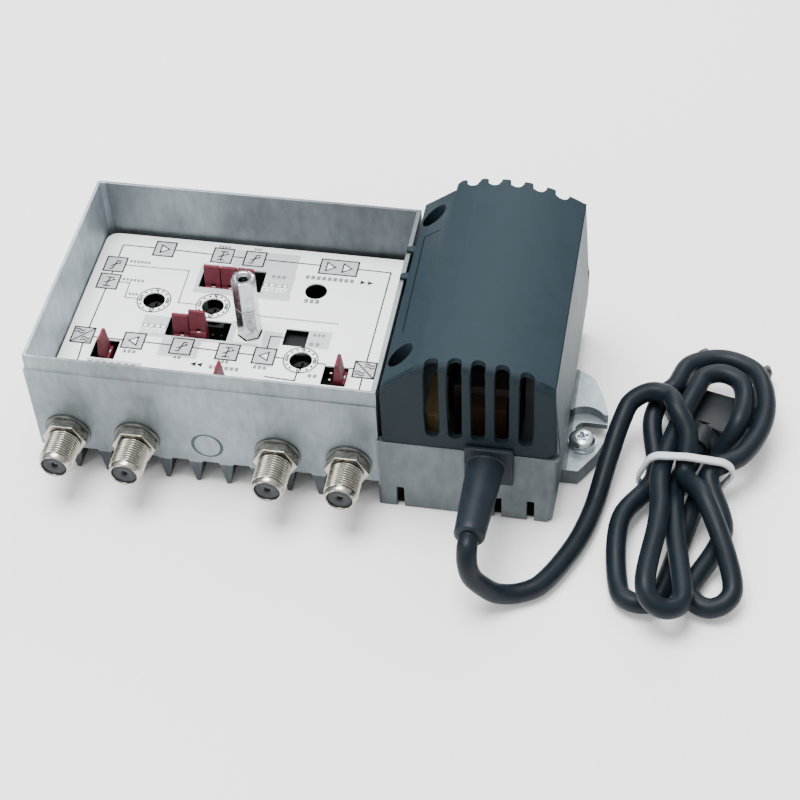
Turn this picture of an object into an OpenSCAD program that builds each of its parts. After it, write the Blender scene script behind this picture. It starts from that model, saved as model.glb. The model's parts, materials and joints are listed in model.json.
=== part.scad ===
// TV signal amplifier for a house network: a finned die-cast box with F ports,
// a label plate with plug-in jumpers and trimmers, a mains power section under
// a vented cover, and a mains lead folded into a tied hank.
// Millimetres, +Z up, front towards -Y.

/* [Box] */
// Outer width of the amplifier box
box_w = 97.5; // [97:0.1:98]
// Outer depth of the casting, front to back
box_d = 73.7; // [73.5:0.1:75]
// Height of the top rim
rim_z = 43.7; // [42:0.1:45]
// Height of the ledge under the rim, where a lid would sit
ledge_z = 38.7; // [37:0.1:40]
// Height of the cooling fins under the box
fin_h = 8.5; // [8:0.1:8.8]
// Distance between two fins
fin_pitch = 8.8; // [8:0.1:8.9]
// Wall thickness of the casting
wall = 1.4; // [1.2:0.1:1.4]

/* [Ports] */
// Distance between two port axes
port_pitch = 20; // [19:0.1:20.2]
// Height of the port axes
port_z = 15.5; // [15.4:0.1:17]
// Outer diameter of the port thread
port_d = 9.5; // [9.2:0.1:9.6]
// How far the ports stand out of the front wall
port_reach = 13.85; // [13:0.05:15]
// Width across the flats of the port nuts
nut_af = 11; // [10.8:0.1:12]

/* [Label] */
// Height of the label plate's top face
label_z = 25.2; // [25:0.1:26]
// Thickness of the label plate
label_t = 0.5; // [0.4:0.1:0.8]
// Height of the threaded post's top
post_top = 46.8; // [44:0.1:50]

/* [Power section] */
// Height of the cast tray under the cover
tray_h = 26; // [25.5:0.1:26]
// Radius of the cover's domed top
dome_r = 43; // [42.8:0.1:43.5]
// Wall thickness of the cover
cover_t = 1.8; // [1.5:0.1:2]
// Width of the cover's air slots
slot_w = 3.7; // [3:0.1:4]

/* [Mounting lug] */
// Width of the open slot for the wall screw
lug_slot = 5.2; // [5:0.1:5.4]
// Thickness of the lug at the slot
lug_t = 5.6; // [5:0.1:6]

/* [Mains lead] */
// Diameter of the lead
cord_d = 5.5; // [5:0.1:5.6]
// Diameter of the plug pins
pin_d = 4; // [3.8:0.1:4.2]

/* [Hidden] */
$fn = 48;
e = 0.01;
gap = 0.05;

// Box
floor_t = 1.5;
floor_z = fin_h + floor_t;
rim_inset = 0.5;
fin_count = 10;
fin_x0 = 9.6;
fin_root = 2.2;
fin_tip = 0.7;
pillar_at = [[5, 7], [92.5, 7], [5, 67.5], [92.5, 67.5]];
pillar_r = 2.2;
shoulder_r = 3.2;

// Ports: places 0, 1, 3 and 4 hold connectors, place 2 is a blank
port_x0 = 9;
port_places = [0, 1, 3, 4];
blank_place = 2;
port_r = port_d / 2;
hole_r = port_r + 0.1;
washer_r = 6.5;
washer_t = 0.8;
nut_t = 3;
socket_r = 3.6;
tip_r = 3.95;
tip_chamfer = 1.6;
flange_r = 5.3;
flange_back = 2.3;
contact_r = 0.6;
socket_y = -6;
blank_r = 4.6;
shank_r = port_r - 0.4;
thread_y = -washer_t - nut_t - 3 * gap;

// Boards
board_t = 1.6;
board_z = 13;
board_top = board_z + board_t;
psu_board_z = 12;
psu_top = psu_board_z + board_t + gap;

// Transformer corner, size, core from front to back, and limb width
tf = [116, 8, psu_top];
tf_size = [18, 24, 22];
core_y = [6, 18];
limb = 3;
winding_w = 3.5;
capacitor_box = [[109, 6.5], [113.4, 22]];
capacitor_edge = 1.5;
capacitor_h = 17;

// Label windows as [x low, y low, x high, y high]
windows = [[34.3, 51.6, 53, 60.5], [29.6, 31, 47.8, 38.5], [10.8, 19.6, 17.9, 26.9],
           [45.4, 10.5, 52.8, 17.5], [77.6, 18.4, 84.6, 25.7], [63.8, 31.8, 70.6, 38.4]];
label_box = [1.8, 1.8, 95.8, 70.9];
label_corner = 3.5;
trimmer_at = [[23, 44.3], [40.6, 44.3], [70.4, 26.7]];
led_at = [69, 54.5];
dial_hole_r = 3.25;
post_at = [53.8, 35.4];
post_af = 6;
post_joint = 36;
post_hole_r = 3.75;
post_bore_r = 1.25;
post_bore = 8;
post_sink_r = 2.1;
post_sink = 0.8;
post_face_r = 3.05;
post_bevel = 0.5;

// Jumpers as [x, y, lift at rest, turn about Z]
jumpers = [[38.6, 53.8, 0, 0], [43.68, 53.8, 0, 0], [48.76, 53.8, 0, 0], [34.5, 33.2, 0, 0],
           [39.58, 33.2, 2, 0], [14.5, 22.5, 0, 90], [50, 14.5, 0, 90], [82.4, 22, 0, 90]];
empty_places = [[44.66, 33.2, 0, 0], [79.8, 22, 0, 90]];
jumper_h = 12;
jumper_w = 4.8;
jumper_y = 1.2;
jumper_top_y = 0.5;
jumper_foot_y = 1.9;
jumper_foot_h = 5;
jumper_waist = 6;
jumper_z = 20;
pin_pitch = 2.54;
pin_r = 0.32;
pin_top = 25;
header_top = jumper_z - 0.2;

// Power section
tray_x1 = 146.5;
tray_front = -0.7;
tray_t = 1.8;
tray_foot = 145;
lean_z0 = 16;
lean_z1 = 22;
side_t = 1.6;
side_top_x = 144.6;
notch_at = [102, 129, 138];
notch_w = 2;
notch_h = 8;
side_wall_top = 50.5;
cover_x0 = 98.6;
cover_front = -0.5;
front_t = 1.3;
flank_z = 45.6;
flank_rise = 0.949;
flank_slant = 1.379;
flank_x1 = 108;
flank_run = 30;
flank_setback = 3.1;
dome_c = [122, 14.5];
cover_z = tray_h + 0.1;
cover_top = 70;
// Right edge of the cover at its foot and above its top: front wall, body and inside
front_right = [145.7, 143.6];
back_right = [144.5, 141.5];
inner_right = [142.7, 139.7];
corner_x = 142.9;
corner_h = 4.4;
slot_z0 = 30.3;
slot_end = 3.3;
crease_r = 2;
front_slots = [112.4, 118.5, 124.6, 130.85, 137.25];
back_slots = [112.8, 118.8, 125.1, 131.4, 137.75];
back_slot_end = 71;
screw_at = [[102.7, 9.8], [102.7, 64.8]];
pocket_r = 3.4;
pocket_z = 36;
cover_post_r = 2.2;
cover_screw_r = 1.25;
screw_tip_z = 26;
cover_post_top = pocket_z - cover_t - 0.1;
tab_at = [55.6, 44.6];
tab_x0 = 96.2;
psu_posts = [[111, 8], [140, 8], [111, 66], [140, 66]];

// Lug
lug_slot_at = [150.5, 29.8];
lug_back_h = 8.5;
spot_r = 6.2;
lug_web = 2;
lug_hollow = [[147.8, 27.2], [158, 37]];
earth_at = [150.4, 24.3];
earth_r = 1.95;
earth_head_r = 3.75;
earth_head = [1.3, 2.2, 2.6];

// Lead: the free stretch from the strain relief to the hank
relief_x = 126.9;
relief_z = 22;
relief_end = -26.4;
boot_r0 = 5.1;
boot_r1 = 4.15;
boot_edge = 0.9;
boot_turn = -2.1;
flange_x = 127.7;
flange_z = 22.2;
flange_y = -2.3;
lead_route = [[126, -26.4, 22], [126, -29.4, 21.6], [126.3, -31.6, 18.5], [127.5, -32.4, 14],
    [130.3, -31.8, 9.5], [133.6, -30.6, 5.6], [137.2, -28.9, 3.5], [140.8, -27.2, 3],
    [144, -25, 3], [147, -20.8, 3], [150, -15, 3], [152.7, -8.5, 3], [154.6, -2, 3],
    [156.2, 6, 3], [157.5, 13.5, 5.5]];
lead_steps = 3;
lead_sides = 10;

// Hank folds as [x in, x out, y of the tip, z in, z at the tip, z out, side]
hank_folds = [[160.7, 175.5, 36.7, 11.5, 16.7, 18.8, 1], [194.7, 183.8, -25.8, 6, 3.6, 2.9, -1],
    [199.5, 174.4, 56.3, 13.4, 12.4, 12.5, 1], [164.9, 176.6, -27.2, 3.3, 3.9, 3, -1],
    [193.7, 180.5, 48.7, 14.1, 14.3, 14.1, 1], [172, 181.8, -32.4, 13.1, 10.1, 8.4, -1]];
// The run that follows each fold, through the waist at the tie
hank_runs = [[[179.3, 23, 15.8], [179.7, 12.8, 10.4], [184.9, 3.1, 14.4]],
    [[191.2, -1, 5.3], [186.2, 14.4, 10.5], [194.3, 21.4, 11.2], [199.5, 32.8, 12.7]],
    [[171.8, 41, 11.7], [169.2, 32.4, 10], [171.5, 16.3, 4.6], [163.6, -1.4, 5.8]],
    [[180.2, -5.4, 3.4], [184.6, 14, 4.4], [187.8, 23.8, 4.5], [192.8, 31, 14.1]],
    [[177, 31.5, 12.5], [173, 13.7, 10.6], [173.7, -4.7, 12.9]],
    [[178, -2.9, 9], [177.8, 15.3, 4.3]]];
hank_start = [[157.5, 13.5, 5.5], [158.8, 21, 8]];
hank_end = [[180.7, 21.2, 6], [182, 26.4, 6]];
fold_points = 5;
hank_steps = 2;
hank_sides = 6;
gap_steps = 6;
gap_reach = 14;

// Tie round the waist, as the outermost strands [x, z]
tie_y = 15;
tie_w = 2.4;
tie_t = 1.2;
tie_slack = 0.9;
tie_strands = [[171.2, 4.9], [185, 4.9], [173.1, 10.7], [179.5, 11.3], [188, 10.7]];

// Plug, lying flat with its pins pointing to the back
plug_at = [182, 26.4, 6];
plug_yaw = -14;
plug_neck_r = 4;
plug_neck = 6;
plug_face = 20;
plug_half = 16;
plug_h = 9.5;
plug_drop = 1.2;
plug_flat = 7;
plug_edge = 2;
plug_pin_len = 19;
plug_pin_gap = 18.6;

// The origin is under the middle of the amplifier without its lead
lug_x1 = 156.8;
origin_x = lug_x1 / 2;
origin_y = (box_d - port_reach) / 2;

// Helpers

module placed() {
    translate([-origin_x, -origin_y, 0])
        children();
}

// Extrudes an outline drawn in X and Z along Y
module along_y(y0, y1) {
    translate([0, y1, 0])
        rotate([90, 0, 0])
            linear_extrude(y1 - y0)
                children();
}

// Puts children on a port axis, with their +Z pointing into the box
module at_port(i) {
    translate([port_x0 + port_pitch * i, 0, port_z])
        rotate([-90, 0, 0])
            children();
}

module block(low, high) {
    translate(low)
        cube(high - low);
}

module rounded_rect(low, high, r) {
    translate([low[0] + r, low[1]])
        square([high[0] - low[0] - 2 * r, high[1] - low[1]]);
    translate([low[0], low[1] + r])
        square([high[0] - low[0], high[1] - low[1] - 2 * r]);
    for (x = [low[0] + r, high[0] - r], y = [low[1] + r, high[1] - r])
        translate([x, y])
            circle(r);
}

module hexagon(af) {
    circle(d = af / cos(30), $fn = 6);
}

// Swept tube

function unit(v) = v / norm(v);
function flat(n, t) = unit(n - (n * t) * t);
function padded(p) = concat([2 * p[0] - p[1]], p, [2 * p[len(p) - 1] - p[len(p) - 2]]);

// One stretch of a smooth curve from b to c, between its neighbours a and d
function stretch(a, b, c, d, steps) =
    let (k1 = sqrt(norm(b - a)), k2 = sqrt(norm(c - b)), k3 = sqrt(norm(d - c)))
    let (m1 = (c - b) + k2 * ((b - a) / k1 - (c - a) / (k1 + k2)))
    let (m2 = (c - b) + k2 * ((d - c) / k3 - (d - b) / (k2 + k3)))
    [for (i = [0 : steps - 1])
        let (t = i / steps)
        (2 * (b - c) + m1 + m2) * pow(t, 3) + (3 * (c - b) - 2 * m1 - m2) * t * t + m1 * t + b];

function curve(p, steps) =
    let (q = padded(p))
    concat([for (i = [1 : len(q) - 3]) each stretch(q[i - 1], q[i], q[i + 1], q[i + 2], steps)],
           [p[len(p) - 1]]);

function tangents(p) =
    let (n = len(p) - 1)
    [for (i = [0 : n]) unit(p[min(i + 1, n)] - p[max(i - 1, 0)])];

module tube(p, d, sides) {
    n = len(p);
    t = tangents(p);
    side = [for (i = 0, s = flat([0, 0, 1], t[0]); i < n;
                 s = flat(s, t[min(i + 1, n - 1)]), i = i + 1) s];
    points = [for (i = [0 : n - 1], k = [0 : sides - 1])
        p[i] + d / 2 * (cos(360 * k / sides) * side[i] + sin(360 * k / sides) * cross(t[i], side[i]))];
    wall_faces = [for (i = [0 : n - 2], k = [0 : sides - 1])
        let (a = i * sides + k, b = i * sides + (k + 1) % sides)
        each [[a, a + sides, b], [b, a + sides, b + sides]]];
    first_cap = [for (k = [1 : sides - 2]) [0, k, k + 1]];
    last = (n - 1) * sides;
    last_cap = [for (k = [1 : sides - 2]) [last, last + k + 1, last + k]];
    polyhedron(points, concat(wall_faces, first_cap, last_cap));
}

// Half circle of one fold, from its way in to its way out
function fold(f) =
    let (half = abs(f[1] - f[0]) / 2, mid = (f[0] + f[1]) / 2)
    [for (i = [0 : fold_points - 1])
        let (u = i / (fold_points - 1))
        [mid + (f[0] - mid) * cos(180 * u),
         f[2] - f[6] * half * (1 - sin(180 * u)),
         u < 0.5 ? f[3] + (f[4] - f[3]) * 2 * u : f[4] + (f[5] - f[4]) * (2 * u - 1)]];

hank_route = concat(hank_start,
    [for (i = [0 : len(hank_folds) - 1]) each concat(fold(hank_folds[i]), hank_runs[i])], hank_end);

// Least distance between two stretches of the hank that lie apart along it
function lengths(p) =
    let (n = len(p))
    [for (i = 0, s = 0; i < n; s = s + norm(p[min(i + 1, n - 1)] - p[i]), i = i + 1) s];
function least_gap(p, s) =
    min([for (i = [0 : len(p) - 2], j = [i + 1 : len(p) - 1])
        if (s[j] - s[i] > gap_reach) norm(p[i] - p[j])]);

// Casting

module box_shell() {
    difference() {
        block([0, 0, fin_h], [box_w, box_d, ledge_z]);
        block([wall, wall, floor_z], [box_w - wall, box_d - wall, ledge_z + 1]);
    }
    difference() {
        block([rim_inset, rim_inset, ledge_z - 1], [box_w, box_d - rim_inset, rim_z]);
        block([wall, wall, ledge_z - 2], [box_w - wall, box_d - wall, rim_z + 1]);
    }
    for (p = pillar_at) {
        translate([p[0], p[1], floor_z - 1])
            cylinder(r = shoulder_r, h = board_z - floor_z + 1);
        translate([p[0], p[1], floor_z - 1])
            cylinder(r = pillar_r, h = label_z - label_t - floor_z + 1);
    }
    translate([post_at[0], post_at[1], floor_z - 1])
        cylinder(r = shoulder_r, h = board_z - floor_z + 1);
}

module fins() {
    for (i = [0 : fin_count - 1])
        translate([fin_x0 + fin_pitch * i, 0, 0])
            along_y(0, box_d) {
                translate([0, fin_tip])
                    circle(fin_tip);
                polygon([[-fin_tip, fin_tip], [fin_tip, fin_tip], [fin_root, fin_h + 0.5],
                         [-fin_root, fin_h + 0.5]]);
            }
}

module power_tray() {
    difference() {
        union() {
            along_y(tray_front, tray_front + tray_t)
                tray_outline();
            along_y(box_d - tray_t, box_d)
                tray_outline();
        }
        for (x = notch_at)
            block([x, tray_front - 1, -1], [x + notch_w, box_d + 1, notch_h]);
    }
    block([box_w - 1, tray_front + 1, fin_h], [tray_x1 - 2, box_d - 1, floor_z]);
    along_y(tray_front, box_d)
        side_wall_outline(tray_h);
    along_y(tray_front + tray_t + 0.4, box_d - 0.3)
        side_wall_outline(side_wall_top);
    for (p = screw_at)
        translate([p[0], p[1], floor_z - 1])
            cylinder(r = cover_post_r, h = cover_post_top - floor_z + 1);
    for (p = psu_posts)
        translate([p[0], p[1], floor_z - 1])
            cylinder(r = 2.5, h = psu_board_z - floor_z + 1);
}

module tray_outline() {
    polygon([[box_w - 0.5, 0], [tray_foot, 0], [tray_x1, lean_z0], [tray_x1, tray_h],
             [box_w - 0.5, tray_h]]);
}

// Right wall of the casting: leans out to the parting line, then back in
module side_wall_outline(top) {
    lean = (tray_x1 - side_top_x) / (side_wall_top - lean_z1);
    x_top = tray_x1 - max(0, top - lean_z1) * lean;
    polygon([[tray_foot - side_t, 0], [tray_foot, 0], [tray_x1, lean_z0], [tray_x1, lean_z1],
             [x_top, top], [x_top - side_t + 0.2, top], [tray_x1 - side_t, lean_z1],
             [tray_x1 - side_t, lean_z0]]);
}

module lug() {
    front = [[144.5, 14], [150.4, 14], [154.8, 21.1], [lug_x1, 26.4]];
    back = [[lug_x1, 33.4], [154.6, 40.8], [151.5, 47.3], [146.9, 49.9], [144.5, 50]];
    linear_extrude(lug_t)
        polygon(concat(front, back));
    linear_extrude(lug_back_h)
        polygon(concat([[144.5, 34.3]], back));
}

module lug_cuts() {
    slot_top = lug_back_h + 1;
    translate([lug_slot_at[0], lug_slot_at[1], -1])
        cylinder(d = lug_slot, h = slot_top + 1);
    block([lug_slot_at[0], lug_slot_at[1] - lug_slot / 2, -1],
          [lug_x1 + 1, lug_slot_at[1] + lug_slot / 2, slot_top]);
    intersection() {
        translate([lug_slot_at[0], lug_slot_at[1], lug_t])
            cylinder(r = spot_r, h = slot_top);
        block([tray_x1 + 0.1, 0, 0], [lug_x1 + 1, box_d, slot_top]);
    }
    translate([earth_at[0], earth_at[1], -1])
        cylinder(r = earth_r + gap, h = slot_top);
    block([lug_hollow[0][0], lug_hollow[0][1], -1], [lug_hollow[1][0], lug_hollow[1][1], lug_t - lug_web]);
}

module housing() {
    color("lightsteelblue")
        placed()
            difference() {
                union() {
                    box_shell();
                    fins();
                    power_tray();
                    lug();
                }
                for (i = port_places)
                    at_port(i)
                        translate([0, 0, -1])
                            cylinder(r = hole_r, h = wall + 2);
                at_port(blank_place)
                    translate([0, 0, -1])
                        difference() {
                            cylinder(r = blank_r, h = 1.3);
                            cylinder(r = blank_r - 0.4, h = 2);
                        }
                lug_cuts();
                relief_notch();
                translate([post_at[0], post_at[1], floor_z])
                    cylinder(r = 1.6, h = board_z);
                for (p = screw_at)
                    translate([p[0], p[1], screw_tip_z - 1])
                        cylinder(r = cover_screw_r + gap, h = cover_post_top);
            }
}

module relief_notch() {
    block([flange_x - 4.7, tray_front - 1, flange_z - 4.7], [flange_x + 4.7, 2, tray_h + 1]);
}

// Cover

// Outline of the cover under its dome, drawn in by t, down to a base height, with its right edge
module cover_outline(t, base, right) {
    left = cover_x0 + t;
    z_left = flank_z - flank_slant * t + flank_rise * t;
    polygon([[left, base], [left, z_left], [left + flank_run, z_left + flank_rise * flank_run],
             [right[1], flank_z + flank_run], [right[0], base]]);
}

module cover_section(t, base, right) {
    intersection() {
        translate(dome_c)
            circle(dome_r - t, $fn = 96);
        cover_outline(t, base, right);
    }
}

// The dome's solid, with its front edge rounded
module dome() {
    long = box_d - cover_front;
    edge = [for (a = [0 : 15 : 90]) [dome_r - crease_r * (1 - sin(a)), crease_r * (1 - cos(a))]];
    translate([dome_c[0], cover_front, dome_c[1]])
        rotate([-90, 0, 0])
            rotate_extrude($fn = 96)
                polygon(concat([[0, 0]], edge, [[dome_r, long], [0, long]]));
}

// Front wall, with its lower right corner cut off
module cover_front_wall() {
    far = tray_x1 + 1;
    intersection() {
        dome();
        along_y(cover_front, front_t)
            difference() {
                cover_outline(0, cover_z, front_right);
                polygon([[corner_x, tray_h], [far, tray_h], [far, tray_h + corner_h]]);
            }
    }
}

// Strip of the dome that lies over the top of the casting's right wall
module cover_lip() {
    along_y(front_t - e, box_d)
        intersection() {
            translate(dome_c)
                circle(dome_r, $fn = 96);
            translate([inner_right[1], side_wall_top + 0.1])
                square([side_top_x - inner_right[1], crease_r * 3]);
        }
}

module cover_cavity() {
    along_y(front_t, box_d - cover_t - flank_setback)
        cover_section(cover_t, tray_h - 1, inner_right);
    intersection() {
        along_y(box_d / 2, box_d - cover_t)
            cover_section(cover_t, tray_h - 1, inner_right);
        block([flank_x1 + cover_t, 0, 0], [tray_x1, box_d, cover_top]);
    }
}

// The back end of the left flank slants forward towards the dome
module flank_cut() {
    linear_extrude(cover_top)
        polygon([[cover_x0 - e, box_d], [flank_x1, box_d - flank_setback], [flank_x1, box_d + 1],
                 [cover_x0 - e, box_d + 1]]);
}

// Tubes round the sunk screws, cut off along the flank
module screw_tubes() {
    intersection() {
        along_y(1, box_d - flank_setback)
            cover_section(0, pocket_z - cover_t, back_right);
        for (p = screw_at)
            translate([p[0], p[1], pocket_z - cover_t])
                cylinder(r = pocket_r + cover_t, h = cover_top);
    }
}

module stadium_slot(x, y0, y1) {
    translate([x, 0, 0])
        along_y(y0, y1) {
            translate([0, slot_z0 + slot_w / 2])
                circle(d = slot_w);
            translate([-slot_w / 2, slot_z0 + slot_w / 2])
                square([slot_w, 40]);
        }
}

// Round end of a slot where it runs over onto the dome
module slot_top(x, y) {
    translate([x, y, flank_z])
        cylinder(d = slot_w, h = 20);
}

module psu_cover() {
    color("darkslategray")
        placed()
            difference() {
                union() {
                    difference() {
                        union() {
                            cover_front_wall();
                            along_y(front_t - e, box_d)
                                cover_section(0, cover_z, back_right);
                            cover_lip();
                        }
                        cover_cavity();
                        flank_cut();
                    }
                    screw_tubes();
                    for (y = tab_at)
                        block([tab_x0, y - 1, rim_z + gap], [cover_x0 + 0.5, y + 1, rim_z + 1]);
                }
                for (p = screw_at) {
                    translate([p[0], p[1], pocket_z])
                        cylinder(r = pocket_r, h = cover_top);
                    translate([p[0], p[1], pocket_z - cover_t - 1])
                        cylinder(r = cover_screw_r + 0.25, h = cover_t + 2);
                }
                for (x = front_slots) {
                    stadium_slot(x, cover_front - 1, slot_end - slot_w / 2);
                    slot_top(x, slot_end - slot_w / 2);
                }
                for (x = back_slots) {
                    stadium_slot(x, box_d - cover_t - 0.1, box_d + 1);
                    slot_top(x, back_slot_end + slot_w / 2);
                }
            }
}

module cover_screws() {
    head_z = pocket_z + gap;
    color("silver")
        placed()
            for (p = screw_at)
                translate([p[0], p[1], head_z])
                    difference() {
                        union() {
                            cylinder(r = 2.6, h = 2.1);
                            translate([0, 0, screw_tip_z - head_z])
                                cylinder(r = cover_screw_r, h = head_z - screw_tip_z + 1);
                        }
                        for (a = [0, 90])
                            rotate(a)
                                translate([-1.6, -0.35, 1.1])
                                    cube([3.2, 0.7, 2]);
                    }
}

// Label plate and boards

module label_plate() {
    color("whitesmoke")
        placed()
            translate([0, 0, label_z - label_t])
                linear_extrude(label_t)
                    difference() {
                        rounded_rect([label_box[0], label_box[1]], [label_box[2], label_box[3]],
                                     label_corner);
                        for (w = windows)
                            translate([w[0], w[1]])
                                square([w[2] - w[0], w[3] - w[1]]);
                        for (p = concat(trimmer_at, [led_at]))
                            translate(p)
                                circle(dial_hole_r);
                        translate(post_at)
                            circle(post_hole_r);
                    }
}

module main_board() {
    color("darkgreen")
        placed()
            translate([0, 0, board_z])
                linear_extrude(board_t)
                    difference() {
                        translate([wall + 0.4, 2.6])
                            square([box_w - 2 * wall - 0.8, box_d - wall - 3]);
                        for (p = pillar_at)
                            translate(p)
                                circle(pillar_r + 0.2);
                        translate(post_at)
                            circle(1.7);
                    }
}

module psu_board() {
    color("olivedrab")
        placed()
            block([108.5, 5, psu_board_z], [142.5, 69, psu_board_z + board_t]);
}

// Mains parts

module transformer_core() {
    color("saddlebrown")
        placed()
            translate(tf)
                along_y(core_y[0], core_y[1])
                    difference() {
                        square([tf_size[0], tf_size[2]]);
                        for (x = [limb, tf_size[0] - limb - winding_w])
                            translate([x, limb])
                                square([winding_w, tf_size[2] - 2 * limb]);
                    }
}

module transformer_bobbin() {
    x0 = limb + 0.2;
    x1 = tf_size[0] - limb - 0.2;
    z0 = limb + 0.2;
    z1 = tf_size[2] - limb - 0.2;
    core_gap = 0.15;
    color("peru")
        placed()
            translate(tf)
                difference() {
                    block([x0, 1.5, z0], [x1, tf_size[1] - 1.5, z1]);
                    block([limb + winding_w - core_gap, core_y[0] - core_gap, 0],
                          [tf_size[0] - limb - winding_w + core_gap, core_y[1] + core_gap, tf_size[2]]);
                }
}

module mains_capacitor() {
    color("tan")
        placed()
            translate([0, 0, psu_top])
                linear_extrude(capacitor_h)
                    rounded_rect(capacitor_box[0], capacitor_box[1], capacitor_edge);
}

module output_capacitors() {
    color("midnightblue")
        placed()
            for (x = [116, 128])
                translate([x, 54, psu_top])
                    rotate_extrude()
                        polygon([[0, 0], [5, 0], [5, 2.4], [4.6, 2.9], [4.6, 3.3], [5, 3.8], [5, 21.5],
                                 [4.4, 22], [0, 22]]);
}

module fuse() {
    color("lightgray")
        placed()
            translate([137, 46, psu_top + 3])
                rotate([-90, 0, 0]) {
                    cylinder(r = 2.3, h = 20);
                    for (y = [0, 14])
                        translate([0, 0, y])
                            cylinder(r = 3, h = 6);
                }
}

// Ports

module f_connector(i) {
    color("tan")
        placed()
            at_port(i)
                rotate_extrude()
                    polygon([[1, flange_back], [1, socket_y], [socket_r, socket_y], [socket_r, -port_reach],
                             [tip_r, -port_reach], [port_r, -port_reach + tip_chamfer], [port_r, thread_y],
                             [shank_r, thread_y], [shank_r, wall + gap], [flange_r, wall + gap],
                             [flange_r, flange_back]]);
}

module connector_washers() {
    color("silver")
        placed()
            for (i = port_places)
                at_port(i)
                    translate([0, 0, -washer_t - gap])
                        difference() {
                            cylinder(r = washer_r, h = washer_t);
                            translate([0, 0, -1])
                                cylinder(r = hole_r, h = 3);
                        }
}

module connector_nuts() {
    color("tan")
        placed()
            for (i = port_places)
                at_port(i)
                    translate([0, 0, -washer_t - nut_t - 2 * gap])
                        difference() {
                            linear_extrude(nut_t)
                                hexagon(nut_af);
                            translate([0, 0, -1])
                                cylinder(r = shank_r + gap, h = nut_t + 2);
                        }
}

module connector_inserts() {
    color("dimgray")
        placed()
            for (i = port_places)
                at_port(i)
                    rotate_extrude()
                        polygon([[contact_r + gap, socket_y - gap], [contact_r + gap, -port_reach + 0.9],
                                 [socket_r - gap, -port_reach + 1.2], [socket_r - gap, socket_y - gap]]);
}

module connector_contacts() {
    color("gold")
        placed()
            for (i = port_places)
                at_port(i)
                    translate([0, 0, -port_reach + 1.6])
                        cylinder(r = contact_r, h = port_reach + 6);
}

// Post, headers and jumpers

module standoff_lower() {
    color("silver")
        placed()
            translate([post_at[0], post_at[1], 0]) {
                translate([0, 0, board_top])
                    linear_extrude(post_joint - board_top)
                        hexagon(post_af);
                translate([0, 0, floor_z + 0.2])
                    cylinder(r = 1.5, h = board_top - floor_z);
            }
}

module standoff_upper() {
    len = post_top - post_joint - gap;
    color("silver")
        placed()
            translate([post_at[0], post_at[1], post_joint + gap])
                difference() {
                    intersection() {
                        linear_extrude(len)
                            hexagon(post_af);
                        rotate_extrude()
                            polygon([[0, 0], [post_af, 0],
                                     [post_af, len - post_bevel * (post_af - post_face_r)],
                                     [post_face_r, len], [0, len]]);
                    }
                    translate([0, 0, len - post_bore])
                        cylinder(r = post_bore_r, h = post_bore + 1);
                    translate([0, 0, len - post_sink])
                        cylinder(r1 = post_bore_r, r2 = post_sink_r, h = post_sink + e);
                }
}

module at_jumper(j) {
    translate([j[0], j[1], 0])
        rotate(j[3])
            children();
}

module pin_headers() {
    color("black")
        placed()
            for (j = concat(jumpers, empty_places))
                at_jumper(j)
                    difference() {
                        block([-pin_pitch + gap, -1.25, board_top + gap],
                              [pin_pitch - gap, 1.25, header_top]);
                        for (s = [-1, 1])
                            translate([s * pin_pitch / 2, 0, 0])
                                cylinder(r = pin_r + gap, h = header_top + 1);
                    }
}

module header_pins() {
    color("gold")
        placed()
            for (j = concat(jumpers, empty_places))
                at_jumper(j)
                    for (s = [-1, 1])
                        translate([s * pin_pitch / 2, 0, board_top + gap])
                            cylinder(r = pin_r, h = pin_top - board_top - gap);
}

module jumper(k) {
    j = jumpers[k - 1];
    color("crimson")
        placed()
            translate([0, 0, jumper_z + j[2]])
                at_jumper(j)
                    difference() {
                        translate([-jumper_w / 2, 0, 0])
                            rotate([90, 0, 90])
                                linear_extrude(jumper_w)
                                    polygon([[-jumper_foot_y, 0], [jumper_y, 0], [jumper_y, jumper_waist],
                                             [jumper_top_y, jumper_h], [-jumper_top_y, jumper_h],
                                             [-jumper_y, jumper_waist], [-jumper_y, jumper_foot_h],
                                             [-jumper_foot_y, jumper_foot_h]]);
                        for (s = [-1, 1])
                            translate([s * pin_pitch / 2, 0, -1])
                                cylinder(r = pin_r + gap, h = pin_top - jumper_z + 1.3);
                    }
}

// Trimmers, lamp and modules

module trimmer_bodies() {
    color("royalblue")
        placed()
            for (p = trimmer_at)
                translate([p[0], p[1], board_top + gap])
                    difference() {
                        translate([-3.3, -3.3, 0])
                            cube([6.6, 6.6, 5.4]);
                        translate([0, 0, 2.4])
                            cylinder(r = 2.55, h = 4);
                    }
}

module trimmer_rotor(k) {
    p = trimmer_at[k - 1];
    color("ivory")
        placed()
            translate([p[0], p[1], board_top + 2.5])
                difference() {
                    cylinder(r = 2.5, h = 5);
                    translate([-0.35, -2, 3.8])
                        cube([0.7, 4, 2]);
                    translate([-2, -0.35, 3.8])
                        cube([4, 0.7, 2]);
                }
}

module power_led() {
    color("limegreen")
        placed()
            translate([led_at[0], led_at[1], board_top + gap]) {
                cylinder(r = 1.9, h = 1);
                cylinder(r = 1.5, h = 5);
                translate([0, 0, 5])
                    sphere(r = 1.5);
            }
}

module downstream_module() {
    color("dimgray")
        placed()
            block([62, 59, board_top + gap], [81, 69, 22]);
}

module upstream_module() {
    color("black")
        placed()
            block([61, 31, board_top + gap], [74, 46, 22.5]);
}

module diplex_filters() {
    color("lightgray")
        placed() {
            block([4, 48, board_top + gap], [13, 62, 21]);
            block([83, 31, board_top + gap], [93, 48, 21]);
        }
}

// Earth screw on the lug

module ground_washer() {
    color("silver")
        placed()
            translate([earth_at[0], earth_at[1], lug_t + gap])
                difference() {
                    cylinder(r = earth_head_r + 0.25, h = 0.8);
                    translate([0, 0, -1])
                        cylinder(r = earth_r + 0.15, h = 3);
                }
}

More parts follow.
